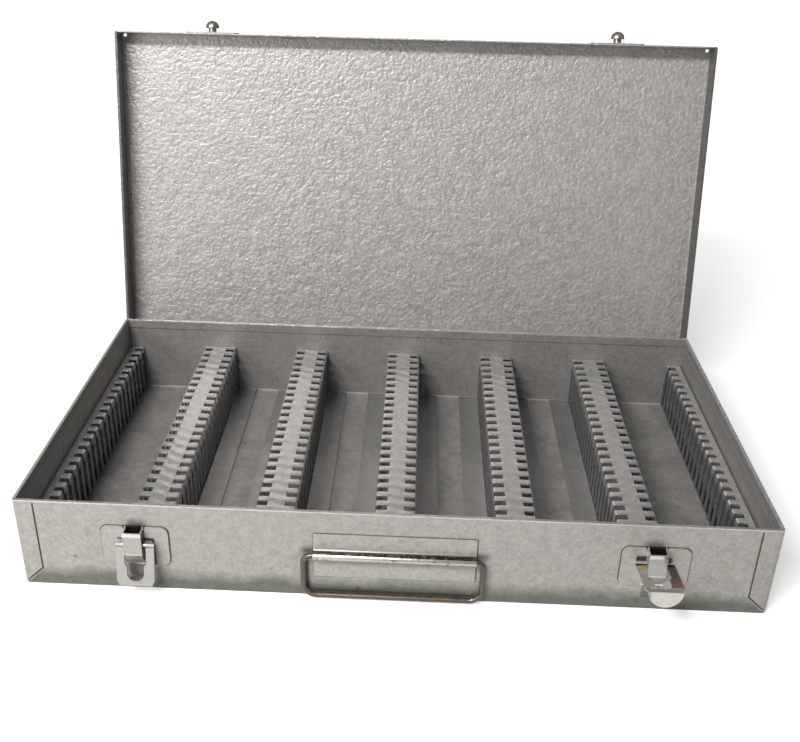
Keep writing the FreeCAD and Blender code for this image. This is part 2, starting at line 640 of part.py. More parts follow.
# The hinges: two butt hinges, the base leaf on the back wall and the lid leaf on the lid's rear wall.
WALL_Y = "(case_depth / 2 - %s)" % AXIS_Y
HINGE_X = "(case_width / 2 - hinge_inset)"
for side_name, sign in (("left", "-"), ("right", "")):
    base_leaf = new_body("hinge_base_leaf_" + side_name)
    drop = new_sketch(base_leaf, "base_leaf_drop_" + side_name, "YZ_Plane")
    draw_box(drop, WALL_Y, WALL_Y + " + hinge_leaf", "-hinge_leaf_drop", "-knuckle_radius + hinge_leaf")
    pad(base_leaf, drop, "hinge_width", both_ways=True)
    shelf = new_sketch(base_leaf, "base_leaf_shelf_" + side_name, "YZ_Plane")
    draw_box(shelf, WALL_Y, "-pin_radius", "-knuckle_radius", "-knuckle_radius + hinge_leaf")
    pad(base_leaf, shelf, "hinge_width", both_ways=True)
    barrel = new_sketch(base_leaf, "base_knuckle_" + side_name, "YZ_Plane")
    draw_circle(barrel, "0", "0", "knuckle_radius")
    pad(base_leaf, barrel, "hinge_width", both_ways=True)
    gap = new_sketch(base_leaf, "base_knuckle_gap_" + side_name, "XY_Plane")
    draw_box(gap, "-knuckle_middle / 2", "knuckle_middle / 2", WALL_Y + " + hinge_leaf", "2 * knuckle_radius")
    pocket(base_leaf, gap, "4 * knuckle_radius", both_ways=True)
    eye = new_sketch(base_leaf, "base_eye_" + side_name, "YZ_Plane")
    draw_circle(eye, "0", "0", "pin_radius + pin_gap")
    pocket(base_leaf, eye, "2 * hinge_width", both_ways=True)
    stand(base_leaf, sign + HINGE_X, AXIS_Y, "hinge_height")

    lid_leaf = new_body("hinge_lid_leaf_" + side_name)
    rise = new_sketch(lid_leaf, "lid_leaf_rise_" + side_name, "YZ_Plane")
    draw_box(rise, "-knuckle_radius", "-knuckle_radius + hinge_leaf", "0", "lid_depth - lid_bend")
    pad(lid_leaf, rise, "hinge_width", both_ways=True)
    lid_barrel = new_sketch(lid_leaf, "lid_knuckle_" + side_name, "YZ_Plane")
    draw_circle(lid_barrel, "0", "0", "knuckle_radius")
    pad(lid_leaf, lid_barrel, "knuckle_middle - 2 * knuckle_gap", both_ways=True)
    cheeks = new_sketch(lid_leaf, "lid_leaf_cheeks_" + side_name, "XZ_Plane")
    for cheek in ("-", ""):
        draw_box(cheeks, cheek + "(knuckle_middle / 2 - knuckle_gap)", cheek + "(hinge_width / 2 + hinge_leaf)",
                 "-2 * knuckle_radius", "knuckle_radius + knuckle_gap")
    pocket(lid_leaf, cheeks, "4 * knuckle_radius", both_ways=True)
    lid_eye = new_sketch(lid_leaf, "lid_eye_" + side_name, "YZ_Plane")
    draw_circle(lid_eye, "0", "0", "pin_radius + pin_gap")
    pocket(lid_leaf, lid_eye, "2 * hinge_width", both_ways=True)
    stand_lid_piece(lid_leaf, sign + HINGE_X)

    pin = new_body("hinge_pin_" + side_name)
    rod = new_sketch(pin, "pin_rod_" + side_name, "YZ_Plane")
    draw_circle(rod, "0", "0", "pin_radius")
    pad(pin, rod, "hinge_width", both_ways=True)
    stand(pin, sign + HINGE_X, AXIS_Y, "hinge_height")

doc.recompute()
for thing in doc.Objects:
    if "Invalid" in thing.State or "Error" in thing.State:
        raise RuntimeError(thing.Label + " is " + ", ".join(thing.State))

os.makedirs("parts", exist_ok=True)
for body in [thing for thing in doc.Objects if thing.TypeId == "PartDesign::Body"]:
    shape = body.Shape
    if shape.isNull() or not shape.isValid() or len(shape.Solids) != 1:
        raise RuntimeError(body.Label + " has no sound solid")
    shape.exportStep("parts/%s.step" % body.Label)
    box = shape.BoundBox
    print("%-22s %8.1f mm3  x %.1f..%.1f  y %.1f..%.1f  z %.1f..%.1f" % (
        body.Label, shape.Volume, box.XMin, box.XMax, box.YMin, box.YMax, box.ZMin, box.ZMax))
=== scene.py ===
"""A grey hammertone slide case, open, as it stands in the photograph. Metres, in the CAD model's frame."""
import math

import bmesh
import bpy
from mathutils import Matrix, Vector


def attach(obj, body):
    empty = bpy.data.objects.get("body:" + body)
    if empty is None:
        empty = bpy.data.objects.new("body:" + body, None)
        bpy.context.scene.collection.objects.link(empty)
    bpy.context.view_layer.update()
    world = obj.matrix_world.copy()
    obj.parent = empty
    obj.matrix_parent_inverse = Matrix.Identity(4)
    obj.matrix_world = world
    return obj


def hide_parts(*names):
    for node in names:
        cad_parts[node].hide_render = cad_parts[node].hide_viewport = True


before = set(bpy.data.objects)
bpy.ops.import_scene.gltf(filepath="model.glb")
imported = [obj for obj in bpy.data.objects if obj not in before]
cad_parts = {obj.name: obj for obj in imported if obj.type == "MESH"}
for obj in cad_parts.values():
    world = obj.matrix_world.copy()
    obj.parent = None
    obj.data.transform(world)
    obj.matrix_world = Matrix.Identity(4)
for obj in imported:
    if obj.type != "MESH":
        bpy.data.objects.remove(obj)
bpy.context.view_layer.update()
MM = 0.001


# The room: a pale floor that runs up into a pale backdrop and looks white a little way off, a long narrow
# lamp overhead in front, which gives the crisp shadow under the lid's upper edge, a broad weak one at the
# left for the sheen, and a dim even sky.
def add(tree, kind, **values):
    """A node with its plain settings given by name."""
    node = tree.nodes.new(kind)
    for key, value in values.items():
        setattr(node, key, value)
    return node


def feed(tree, node, socket, source):
    """Sets a socket to a value, or links it to another node's output."""
    if isinstance(source, bpy.types.NodeSocket):
        tree.links.new(source, node.inputs[socket])
    else:
        node.inputs[socket].default_value = source


def remap(tree, value, low, high, to_low=0.0, to_high=1.0):
    """Runs from to_low at low to to_high at high, and stays level beyond them."""
    node = add(tree, "ShaderNodeMapRange", clamp=True)
    feed(tree, node, "Value", value)
    feed(tree, node, "From Min", low)
    feed(tree, node, "From Max", high)
    feed(tree, node, "To Min", to_low)
    feed(tree, node, "To Max", to_high)
    return node.outputs["Result"]


def reckon(tree, operation, first, second=0.0):
    """One step of arithmetic."""
    node = add(tree, "ShaderNodeMath", operation=operation)
    feed(tree, node, 0, first)
    feed(tree, node, 1, second)
    return node.outputs[0]


WHITE_FROM = 0.75
paper = bpy.data.materials.new("pale_paper")
paper.use_nodes = True
tree = paper.node_tree
shader = tree.nodes["Principled BSDF"]
shader.inputs["Base Color"].default_value = (0.84, 0.84, 0.83, 1)
shader.inputs["Roughness"].default_value = 0.9
shader.inputs["Specular IOR Level"].default_value = 0.1
shader.inputs["Emission Color"].default_value = (1, 1, 1, 1)
distance = add(tree, "ShaderNodeVectorMath", operation="LENGTH")
feed(tree, distance, 0, add(tree, "ShaderNodeTexCoord").outputs["Object"])
fade = remap(tree, distance.outputs["Value"], 0.22, WHITE_FROM, 0.50, 1.0)
seen = add(tree, "ShaderNodeLightPath").outputs["Is Camera Ray"]
feed(tree, shader, "Emission Strength", reckon(tree, "MULTIPLY", seen, fade))

FLOOR_SIZE = 6
bpy.ops.object.select_all(action="DESELECT")
bpy.ops.mesh.primitive_plane_add(size=FLOOR_SIZE, location=(0, 0, 0))
floor = bpy.context.object
floor.name = "floor"
bpy.ops.object.mode_set(mode="EDIT")
bpy.ops.mesh.select_mode(type="EDGE")
bpy.ops.mesh.select_all(action="DESELECT")
floor_mesh = bmesh.from_edit_mesh(floor.data)
for edge in floor_mesh.edges:
    edge.select = all(v.co.y > FLOOR_SIZE / 2 - 0.1 for v in edge.verts)
bmesh.update_edit_mesh(floor.data)
bpy.ops.mesh.extrude_region_move(TRANSFORM_OT_translate={"value": (0, 0, 4)})
bpy.ops.object.mode_set(mode="OBJECT")
sweep = floor.modifiers.new("sweep", "BEVEL")
sweep.width = 1.2
sweep.segments = 12
bpy.ops.object.modifier_apply(modifier="sweep")
bpy.ops.object.shade_smooth()
floor.data.materials.append(paper)

world = bpy.data.worlds.new("even_sky")
bpy.context.scene.world = world
world.use_nodes = True
sky = world.node_tree.nodes["Background"]
sky.inputs["Color"].default_value = (1.0, 0.99, 0.975, 1)
sky.inputs["Strength"].default_value = 0.17


def soft_lamp(name, place, aim, width, height, watts, colour):
    """A rectangular lamp that faces a point."""
    lamp = bpy.data.lights.new(name, "AREA")
    lamp.shape = "RECTANGLE"
    lamp.size = width
    lamp.size_y = height
    lamp.energy = watts
    lamp.color = colour
    holder = bpy.data.objects.new(name, lamp)
    bpy.context.scene.collection.objects.link(holder)
    holder.location = place
    holder.rotation_euler = (Vector(aim) - Vector(place)).to_track_quat("-Z", "Y").to_euler()


LAMP_WHITE = (1.0, 0.985, 0.965)
soft_lamp("key_lamp", (-0.42, -0.72, 0.92), (0.0, 0.05, 0.06), 0.50, 0.05, 14, LAMP_WHITE)
soft_lamp("sheen_lamp", (-0.85, -0.85, 0.50), (-0.05, 0.0, 0.08), 0.5, 0.35, 4.5, LAMP_WHITE)

# The camera stands where the photograph's did. Its lens, tilt and shift come from the corners of the tray
# and the lid.
PHOTO_WIDTH = 800
LENS_PIXELS = 948.97
AXIS_PIXELS = (390, 298)
PHOTO_MIDDLE = (400, 371)
view_data = bpy.data.cameras.new("photo_camera")
view_data.sensor_width = 36
view_data.lens = LENS_PIXELS / PHOTO_WIDTH * view_data.sensor_width
view_data.shift_x = (PHOTO_MIDDLE[0] - AXIS_PIXELS[0]) / PHOTO_WIDTH
view_data.shift_y = (AXIS_PIXELS[1] - PHOTO_MIDDLE[1]) / PHOTO_WIDTH
view_data.clip_start = 0.01
camera = bpy.data.objects.new("photo_camera", view_data)
bpy.context.scene.collection.objects.link(camera)
camera.location = (0.00622, -0.45880, 0.34160)
camera.rotation_euler = (math.radians(64.2437), math.radians(-1.1168), math.radians(2.2058))
bpy.context.scene.camera = camera
bpy.context.scene.view_settings.view_transform = "Standard"


# The enamel: a grey hammertone paint, sprayed on the folded sheet and stoved. It dries into shallow hollows
# with a fine metallic grain, faint creases between them, and a few specks of dust.
def noise(tree, where, scale, detail=2.0, roughness=0.5):
    """Soft noise in the piece's own coordinates, with scale waves to the metre."""
    node = add(tree, "ShaderNodeTexNoise")
    feed(tree, node, "Vector", where)
    feed(tree, node, "Scale", scale)
    feed(tree, node, "Detail", detail)
    feed(tree, node, "Roughness", roughness)
    return node.outputs["Fac"]


def blend(tree, amount, under, over, mode="MIX"):
    """Lays one colour over another, as far as amount says."""
    node = add(tree, "ShaderNodeMix", data_type="RGBA", blend_type=mode)
    feed(tree, node, 0, amount)
    feed(tree, node, 6, under)
    feed(tree, node, 7, over)
    return node.outputs[2]


def split(tree, where, mirrored=False):
    """The three coordinates by letter. mirrored folds the left half onto the right: X is never negative."""
    parts = add(tree, "ShaderNodeSeparateXYZ")
    feed(tree, parts, 0, where)
    place = {axis: parts.outputs[axis] for axis in "XYZ"}
    if mirrored:
        place["X"] = reckon(tree, "ABSOLUTE", place["X"])
    return place


def box_mask(tree, place, low, high, soft=0.3):
    """1 inside a box, with softened edges, all in millimetres. None leaves an axis free."""
    mask = None
    for axis, least, most in zip("XYZ", low, high):
        if least is None or most is None:
            continue
        apart = reckon(tree, "ABSOLUTE", reckon(tree, "SUBTRACT", place[axis], (least + most) / 2 * MM))
        half = (most - least) / 2
        side = remap(tree, apart, (half - soft) * MM, (half + soft) * MM, 1.0, 0.0)
        mask = side if mask is None else reckon(tree, "MULTIPLY", mask, side)
    return mask


def outline_mask(tree, place, middle, half, corner, wide):
    """1 along the outline of a plate with rounded corners on the front wall, all in millimetres."""
    reach = []
    for axis, centre, size in zip("XZ", middle, half):
        apart = reckon(tree, "ABSOLUTE", reckon(tree, "SUBTRACT", place[axis], centre * MM))
        reach.append(reckon(tree, "SUBTRACT", apart, (size - corner) * MM))
    inside = reckon(tree, "MINIMUM", reckon(tree, "MAXIMUM", reach[0], reach[1]), 0.0)
    squares = [reckon(tree, "POWER", reckon(tree, "MAXIMUM", r, 0.0), 2.0) for r in reach]
    outside = reckon(tree, "SQRT", reckon(tree, "ADD", squares[0], squares[1]))
    apart = reckon(tree, "SUBTRACT", reckon(tree, "ADD", inside, outside), corner * MM)
    return remap(tree, reckon(tree, "ABSOLUTE", apart), wide * 0.35 * MM, wide * MM, 1.0, 0.0)


def darken(tree, colour, mask, factor):
    """Multiplies the colour by a factor, or by three, where the mask is 1."""
    tint = factor if isinstance(factor, tuple) else (factor,) * 3
    return blend(tree, mask, colour, blend(tree, 1.0, colour, (*tint, 1), "MULTIPLY"))


def bare(tree, shader, colour, mask, shade, roughness=0.28):
    """Bright bare steel where the mask is 1: worn steel, and on some edges a painted highlight."""
    for socket, value in (("Metallic", 0.95), ("Roughness", roughness)):
        held = shader.inputs[socket]
        before = held.links[0].from_socket if held.is_linked else held.default_value
        feed(tree, shader, socket, remap(tree, mask, 0.0, 1.0, before, value))
    return blend(tree, mask, colour, (*shade, 1))


def creases(tree, where, apart, thin):
    """Short creases round hollows that lie about apart from each other, 1 along their middle."""
    drift = add(tree, "ShaderNodeTexNoise")
    feed(tree, drift, "Vector", where)
    feed(tree, drift, "Scale", 0.7 / apart)
    moved = add(tree, "ShaderNodeVectorMath", operation="MULTIPLY_ADD")
    feed(tree, moved, 0, drift.outputs["Color"])
    moved.inputs[1].default_value = (1.2 * apart,) * 3
    feed(tree, moved, 2, where)
    cells = add(tree, "ShaderNodeTexVoronoi", feature="DISTANCE_TO_EDGE")
    feed(tree, cells, "Vector", moved.outputs[0])
    feed(tree, cells, "Scale", 1.0 / apart)
    lines = remap(tree, cells.outputs["Distance"], 0.0, thin, 1.0, 0.0)
    return reckon(tree, "MULTIPLY", lines, remap(tree, noise(tree, where, 0.9 / apart), 0.44, 0.62))


def hammertone(name, grey, metallic, roughness, dimple, depth, grain_size=1.6 * MM, grain_depth=0.6,
               fleck=0.22, calm=None, dust=0.3):
    """Grey enamel with hollows about one dimple apart. Returns the material, its tree, shader, base colour
    and coordinates. calm gives two heights between which the hollows fade out and leave the grain alone."""
    enamel = bpy.data.materials.new(name)
    enamel.use_nodes = True
    tree = enamel.node_tree
    shader = tree.nodes["Principled BSDF"]
    where = add(tree, "ShaderNodeTexCoord").outputs["Object"]
    grain = noise(tree, where, 1.0 / grain_size, 2.0, 0.6)
    hollows = noise(tree, where, 0.75 / dimple, 2.0, 0.55)
    lines = creases(tree, where, dimple, 0.22)
    waves = remap(tree, split(tree, where)["Z"], *calm, 1.0, 0.25) if calm else 1.0
    height = reckon(tree, "SUBTRACT", hollows, reckon(tree, "MULTIPLY", lines, 0.10))
    height = reckon(tree, "MULTIPLY", height, waves)
    height = reckon(tree, "ADD", height, reckon(tree, "MULTIPLY", grain, grain_depth))
    bump = add(tree, "ShaderNodeBump")
    feed(tree, bump, "Height", height)
    bump.inputs["Distance"].default_value = depth * 5
    bump.inputs["Strength"].default_value = 0.5
    feed(tree, shader, "Normal", bump.outputs["Normal"])
    dark = tuple(c * 0.93 for c in grey)
    light = tuple(min(1.0, c * 1.06) for c in grey)
    colour = blend(tree, remap(tree, hollows, 0.35, 0.65), (*dark, 1), (*light, 1))
    colour = blend(tree, reckon(tree, "MULTIPLY", remap(tree, grain, 0.42, 0.62), fleck), colour,
                   (*[min(1.0, c * 1.7) for c in grey], 1))
    colour = blend(tree, reckon(tree, "MULTIPLY", reckon(tree, "MULTIPLY", lines, 0.28), waves), colour,
                   (*[c * 0.6 for c in grey], 1))
    specks = add(tree, "ShaderNodeTexVoronoi", feature="F1")
    feed(tree, specks, "Vector", where)
    feed(tree, specks, "Scale", 95.0)
    dots = remap(tree, specks.outputs["Distance"], 0.04, 0.065, 1.0, 0.0)
    colour = blend(tree, reckon(tree, "MULTIPLY", dots, dust), colour, (0.06, 0.045, 0.035, 1))
    shader.inputs["Metallic"].default_value = metallic
    feed(tree, shader, "Roughness", remap(tree, grain, 0.3, 0.7, roughness - 0.06, roughness + 0.08))
    return enamel, tree, shader, colour, where


def dress(node, material, round_over=0.0):
    """Gives a CAD node its finish and, where asked, softly rounded edges."""
    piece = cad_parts[node]
    piece.data.materials.clear()
    piece.data.materials.append(material)
    if round_over:
        weld = piece.modifiers.new("weld", "WELD")
        weld.merge_threshold = 0.00001
        soften = piece.modifiers.new("soften", "BEVEL")
        soften.width = round_over
        soften.segments = 2
        soften.limit_method = "ANGLE"
        soften.angle_limit = math.radians(40)
    return piece


# The tray: one sheet of steel, folded up on four sides and hemmed at the rim, with the corner flaps let in
# flush on the front and back walls. Its inside is painted darker as shade, its floor a little lighter as
# light, and the foot of the front wall is painted dark as a reflection.
FRONT = (-98, -96.2)
INSIDE_LEFT = -183.4
INSIDE_RIGHT = 184.5
HALF_DEPTH = 96
RIM = 51.35


def stain(tree, where, colour, marks, tint):
    """Small ragged stains on the front wall or its fittings, each at x, z with its half width."""
    place = split(tree, where)
    ragged = remap(tree, noise(tree, where, 700.0, 2.0), 0.35, 0.55, 0.15, 1.0)
    for x, z, half in marks:
        low = (x - half, FRONT[0], z - half)
        high = (x + half, FRONT[1], z + half)
        spot = box_mask(tree, place, low, high, 0.6 * half)
        colour = blend(tree, reckon(tree, "MULTIPLY", spot, ragged), colour, (*tint, 1))
    return colour


def shade_front(tree, place, colour, shades):
    """Paints shade onto parts of the front wall. Each shade is low x, low z, high x, high z, softness and
    factor.
    """
    for low_x, low_z, high_x, high_z, soft, factor in shades:
        shade = box_mask(tree, place, (low_x, FRONT[0], low_z), (high_x, FRONT[1], high_z), soft)
        colour = darken(tree, colour, shade, factor)
    return colour


tray_paint, tree, shader, colour, where = hammertone("tray_enamel", (0.36, 0.35, 0.335), metallic=0.3,
                                                     roughness=0.46, dimple=4 * MM, depth=0.17 * MM)
place = split(tree, where)
both = split(tree, where, mirrored=True)
on_front = box_mask(tree, place, (None, FRONT[0], None), (None, FRONT[1], None))
# Painted shade darkens the inside; the floor is then painted lighter again as light.
inside = box_mask(tree, place, (INSIDE_LEFT, -HALF_DEPTH, -1), (INSIDE_RIGHT, HALF_DEPTH, 51.2))
colour = darken(tree, colour, inside, 0.68)
on_floor = box_mask(tree, place, (-184, -HALF_DEPTH, -1), (184, HALF_DEPTH, 2))
colour = darken(tree, colour, on_floor, 1.22)
streaks = remap(tree, noise(tree, where, 55.0, 3.0, 0.6), 0.45, 0.62)
colour = darken(tree, colour, reckon(tree, "MULTIPLY", on_floor, streaks), 0.82)
# Painted highlights: a light line along the fold of the floor into the back wall, and one along the lower
# edge of the hem inside the right wall.
painted_fold_highlight = box_mask(tree, place, (-183, 95.2, 0.9), (183, 96.1, 1.7), 0.15)
colour = blend(tree, reckon(tree, "MULTIPLY", painted_fold_highlight, 0.8), colour, (0.62, 0.61, 0.58, 1))
painted_hem_highlight = box_mask(tree, place, (183, -90, 44.6), (185, 90, 45.6), 0.2)
colour = blend(tree, reckon(tree, "MULTIPLY", painted_hem_highlight, 0.7), colour, (0.60, 0.59, 0.56, 1))

# Below a ragged line the front wall is painted dark and greenish as a reflection, as far as the mitred
# seams of the flaps. The seams and the edges of the plates are lined darker, and painted shade lies round
# the catches, the loops and the bail.
MITRE_SLOPE = 1.03
ragged = reckon(tree, "MULTIPLY", reckon(tree, "SUBTRACT", noise(tree, where, 90.0, 2.0), 0.5), 9 * MM)
foot = remap(tree, reckon(tree, "ADD", place["Z"], ragged), 5.5 * MM, 13.5 * MM, 1.0, 0.0)
from_mitre = reckon(tree, "ADD", both["X"], reckon(tree, "MULTIPLY", both["Z"], MITRE_SLOPE))
for mask in (remap(tree, from_mitre, 184.2 * MM, 185.2 * MM, 1.0, 0.0), on_front,
             remap(tree, place["Z"], 0.2 * MM, 1.0 * MM, 0.45, 1.0)):
    foot = reckon(tree, "MULTIPLY", foot, mask)
colour = darken(tree, colour, foot, (0.38, 0.42, 0.36))
seams = box_mask(tree, both, (172, -96.45, 1), (183.5, -95.3, 51), 0.05)
colour = darken(tree, colour, seams, (0.34, 0.29, 0.24))
plates = outline_mask(tree, both, (126.5, 27.65), (16.5, 11.45), 3.6, 0.75)
colour = darken(tree, colour, reckon(tree, "MULTIPLY", plates, on_front), (0.16, 0.15, 0.14))
bracket = outline_mask(tree, place, (0.7, 26.15), (39.8, 12.95), 0.4, 0.75)
bracket = reckon(tree, "MULTIPLY", bracket, remap(tree, place["X"], -42 * MM, -37 * MM, 0.1, 1.0))
bracket = reckon(tree, "MULTIPLY", bracket, remap(tree, place["Z"], 13.5 * MM, 15 * MM, 0.45, 1.0))
colour = darken(tree, colour, reckon(tree, "MULTIPLY", bracket, on_front), (0.34, 0.26, 0.19))
# Painted shade above the openings of the catches' channels, inside the channels and in the loops' slots.
colour = shade_front(tree, both, colour, ((120.6, 33, 130.3, 42.6, 2.1, 0.06),
                                          (122.5, 21, 130.5, 38.6, 0.2, 0.05),
                                          (122.0, 7.6, 131.0, 16.0, 0.5, 0.4)))
# Painted shadows beside the left loop, inside the bail's left leg, above its bottom wire and outside its
# upper bends.
colour = shade_front(tree, place, colour, ((-118.0, 3.0, -115.2, 14.5, 0.8, 0.45),
                                           (-43.9, 3.5, -41.3, 24.5, 0.7, 0.06),
                                           (-43.0, 3.0, 43.0, 4.6, 0.6, 0.3),
                                           (-45.0, 26.6, -38.5, 30.6, 1.3, 0.12),
                                           (40.2, 26.6, 46.5, 30.6, 1.3, 0.12)))
colour = stain(tree, where, colour, ((162.6, 29.0, 2.3), (151.3, 21.5, 0.7), (173.4, 37.5, 0.8)),
               (0.36, 0.27, 0.18))
colour = stain(tree, where, colour, ((-17.1, 5.9, 1.0), (-157.6, 19.0, 0.7)), (0.08, 0.07, 0.05))

# The hem's fold along the rim has worn through to the steel, most of all in front.
rim = box_mask(tree, place, (None, None, RIM), (None, None, 53), 0.25)
rim = reckon(tree, "MULTIPLY", rim, remap(tree, noise(tree, where, 160.0, 2.0), 0.30, 0.45, 0.35, 1.0))
at_side = box_mask(tree, both, (182.3, -94.6, None), (190, 99, None), 0.4)
flecks = remap(tree, noise(tree, where, 380.0, 2.0), 0.47, 0.56)
worn_side = remap(tree, place["X"], -MM, MM, 0.12, flecks)
rim = reckon(tree, "MULTIPLY", rim, remap(tree, at_side, 0.0, 1.0, 1.0, worn_side))
colour = bare(tree, shader, colour, rim, (0.80, 0.79, 0.77), 0.36)
feed(tree, shader, "Base Color", colour)
dress("base_tray", tray_paint, 0.25 * MM)

# The lid: a second folded pan, with its side walls hemmed and a relief hole at each corner of the fold. Its
# paint is finest at the top and runs into wide hollows lower down. The insides of its side walls and its
# free edges are painted dark as shade, and the fold at its right side has a painted highlight.
HINGE = Vector((0, 99.5 * MM, 38.4 * MM))
LEAN = math.radians(11.5)
lid_paint, tree, shader, colour, where = hammertone("lid_enamel", (0.385, 0.372, 0.362), metallic=0.35,
                                                    roughness=0.42, dimple=6 * MM, depth=0.30 * MM,
                                                    grain_size=2.4 * MM, grain_depth=1.0,
                                                    calm=(95 * MM, 185 * MM))
place = split(tree, where)
both = split(tree, where, mirrored=True)
back = reckon(tree, "SUBTRACT", place["Y"], HINGE.y)
rise = reckon(tree, "SUBTRACT", place["Z"], HINGE.z)
up_lid = reckon(tree, "ADD", reckon(tree, "MULTIPLY", back, math.sin(LEAN)),
                reckon(tree, "MULTIPLY", rise, math.cos(LEAN)))
deep = reckon(tree, "SUBTRACT", reckon(tree, "MULTIPLY", back, math.cos(LEAN)),
              reckon(tree, "MULTIPLY", rise, math.sin(LEAN)))
# Painted shade on the insides of the side walls and on the free edges.
shaded_lid_side_walls = box_mask(tree, {"X": both["X"], "Z": deep}, (185.0, None, -1), (186.75, None, 14.4), 0.12)
colour = darken(tree, colour, shaded_lid_side_walls, 0.31)
shaded_free_edges = reckon(tree, "MAXIMUM", remap(tree, both["X"], 184.9 * MM, 185.2 * MM),
                    remap(tree, up_lid, 195.8 * MM, 196.1 * MM))
shaded_free_edges = reckon(tree, "MULTIPLY", shaded_free_edges, remap(tree, deep, 0.7 * MM, 1.1 * MM, 1.0, 0.0))
colour = darken(tree, colour, shaded_free_edges, 0.12)
painted_fold_highlight = box_mask(tree, {"X": place["X"], "Z": deep}, (184.2, None, 13.6), (186.2, None, 15), 0.3)
colour = blend(tree, reckon(tree, "MULTIPLY", painted_fold_highlight, 0.6), colour, (0.60, 0.59, 0.57, 1))
feed(tree, shader, "Base Color", colour)
dress("lid_pan", lid_paint, 0.3 * MM)

# The dividers: hat sections of sheet steel with a row of punched slots down each edge. They were painted,
# and then spot welded to the floor by their feet. The punch left each web rippled between the slots.
SLOTS = 25
PITCH = 7.56 * MM
SLOT = 3.8 * MM
TOOTH = PITCH - SLOT
HALF_LENGTH = 95.4 * MM
SHEET = 0.8 * MM
TRAY_FLOOR = 0.8 * MM
SLOT_FOOT = 1.8 * MM
ROW_SHIFT = 0.3 * MM
RIPPLE = 0.12 * MM
LANE = 368.4 * MM / 6
WEB = 4.4 * MM
OUTER_FACE = 10.5 * MM
HEIGHT = 32.8 * MM
SIDE_HEIGHT = 30.8 * MM
SIDE_WALL = 184.2 * MM


def pick(kind, wanted):
    """Selects the edges, faces or vertices of the mesh in edit mode whose middle passes the test."""
    bpy.ops.mesh.select_mode(type={"edges": "EDGE", "faces": "FACE", "verts": "VERT"}[kind])
    bpy.ops.mesh.select_all(action="DESELECT")
    mesh = bmesh.from_edit_mesh(bpy.context.object.data)
    for element in getattr(mesh, kind):
        points = [element.co] if kind == "verts" else [v.co for v in element.verts]
        element.select_set(all(wanted(point) for point in points))
    mesh.select_flush_mode()
    bmesh.update_edit_mesh(bpy.context.object.data)


def draw_out(*steps):
    """Extrudes the selected edges through each step in turn."""
    for step in steps:
        bpy.ops.mesh.extrude_edges_move(TRANSFORM_OT_translate={"value": step})


def bend(radius, side):
    """Three steps round a fold of the sheet, from level to straight down."""
    angles = [math.pi / 2 * number / 3 for number in range(4)]
    steps = []
    for first, last in zip(angles, angles[1:]):
        out = side * radius * (math.sin(last) - math.sin(first))
        steps.append((out, 0, radius * (math.cos(last) - math.cos(first))))
    return steps


def near(value, target):
    return abs(value - target) < 0.02 * MM


